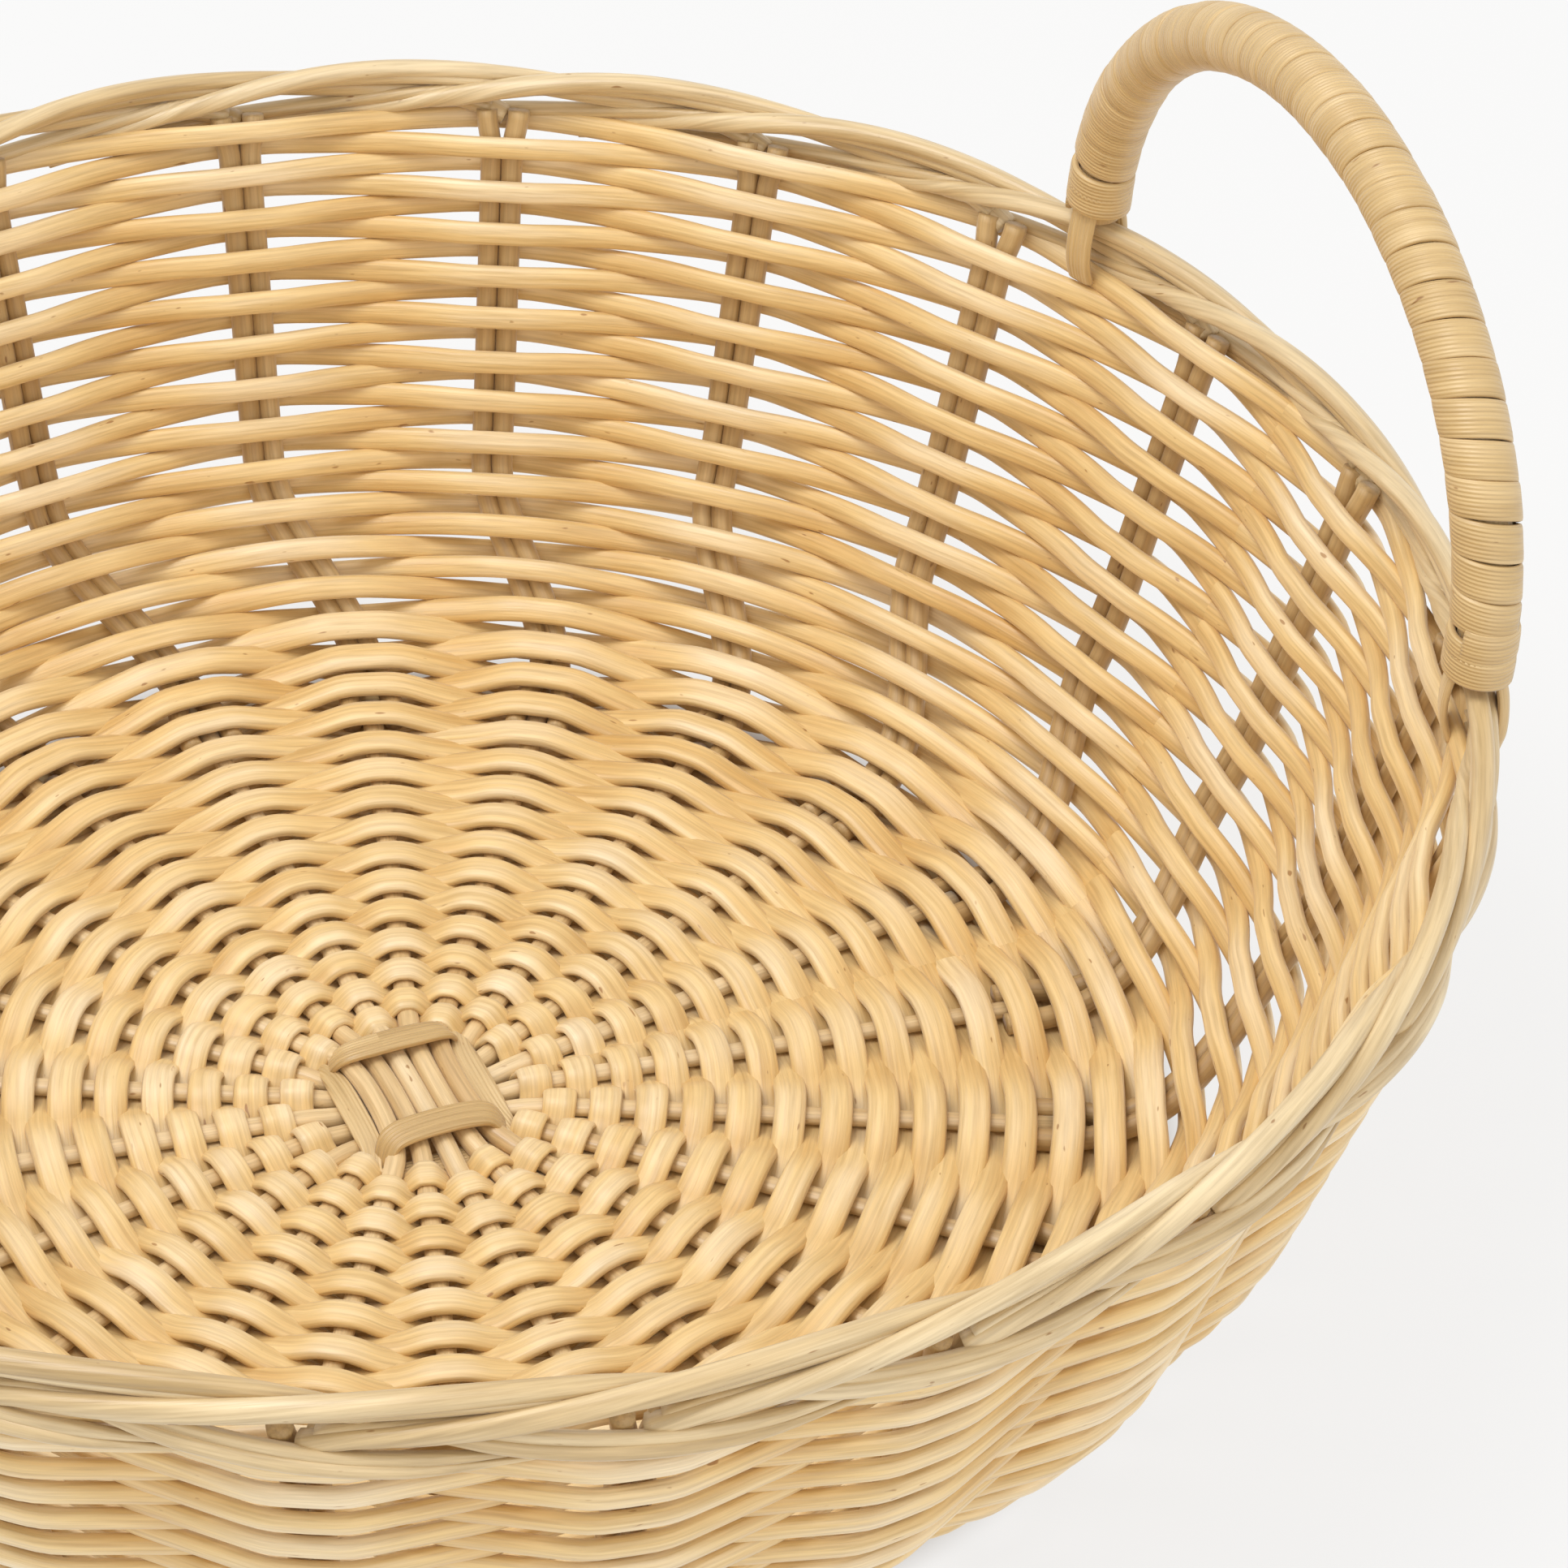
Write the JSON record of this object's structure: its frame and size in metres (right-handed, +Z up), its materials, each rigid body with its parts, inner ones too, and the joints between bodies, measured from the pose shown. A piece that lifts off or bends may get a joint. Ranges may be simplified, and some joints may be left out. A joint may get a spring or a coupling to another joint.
{
  "type": "woven wicker basket",
  "caption": "Round shallow basket of woven rods with flaring openwork sides, a rolled rod border and two small wrapped bow handles.",
  "frame": {"origin": "centre of the basket's underside, on the surface that it stands on", "axes": "+Z up; the two handles stand at +X and -X; the middle group of base sticks runs along Y"},
  "size_m": [0.335, 0.335, 0.1681],
  "materials": {
    "stick_rod": "natural peeled rod, matte",
    "stake_rod": "natural peeled rod, satin",
    "weaver": "natural peeled rod, silky satin",
    "border_rod": "natural peeled rod, matte",
    "flat_cane": "split flat cane, satin"
  },
  "bodies": {
    "root": {"base_stick_cross_1": "stick_rod", "base_stick_cross_2": "stick_rod", "base_stick_cross_3": "stick_rod", "base_stick_cross_4": "stick_rod", "base_stick_cross_5": "stick_rod", "base_stick_cross_6": "stick_rod", "base_stick_long_1": "stick_rod", "base_stick_long_2": "stick_rod", "base_stick_long_3": "stick_rod", "base_stick_long_4": "stick_rod", "base_stick_long_5": "stick_rod", "base_weave_1": "weaver", "base_weave_2": "weaver", "base_weave_3": "weaver", "base_weave_4": "weaver", "border_rods_1": "border_rod", "border_rods_2": "border_rod", "border_rods_3": "border_rod", "border_rods_4": "border_rod", "cross_binding": "flat_cane", "handle_left_bow": "stake_rod", "handle_left_foot_band_far": "flat_cane", "handle_left_foot_band_near": "flat_cane", "handle_left_wrap": "flat_cane", "handle_right_bow": "stake_rod", "handle_right_foot_band_far": "flat_cane", "handle_right_foot_band_near": "flat_cane", "handle_right_wrap": "flat_cane", "side_stake_01": "stake_rod", "side_stake_02": "stake_rod", "side_stake_03": "stake_rod", "side_stake_04": "stake_rod", "side_stake_05": "stake_rod", "side_stake_06": "stake_rod", "side_stake_07": "stake_rod", "side_stake_08": "stake_rod", "side_stake_09": "stake_rod", "side_stake_10": "stake_rod", "side_stake_11": "stake_rod", "side_stake_12": "stake_rod", "side_stake_13": "stake_rod", "side_stake_14": "stake_rod", "side_stake_15": "stake_rod", "side_stake_16": "stake_rod", "side_stake_17": "stake_rod", "side_stake_18": "stake_rod", "side_stake_19": "stake_rod", "side_stake_20": "stake_rod", "side_stake_21": "stake_rod", "side_stake_22": "stake_rod", "side_weave_1": "weaver", "side_weave_2": "weaver", "side_weave_3": "weaver", "side_weave_4": "weaver", "side_weave_5": "weaver", "side_weave_6": "weaver"}
  },
  "joints": []
}
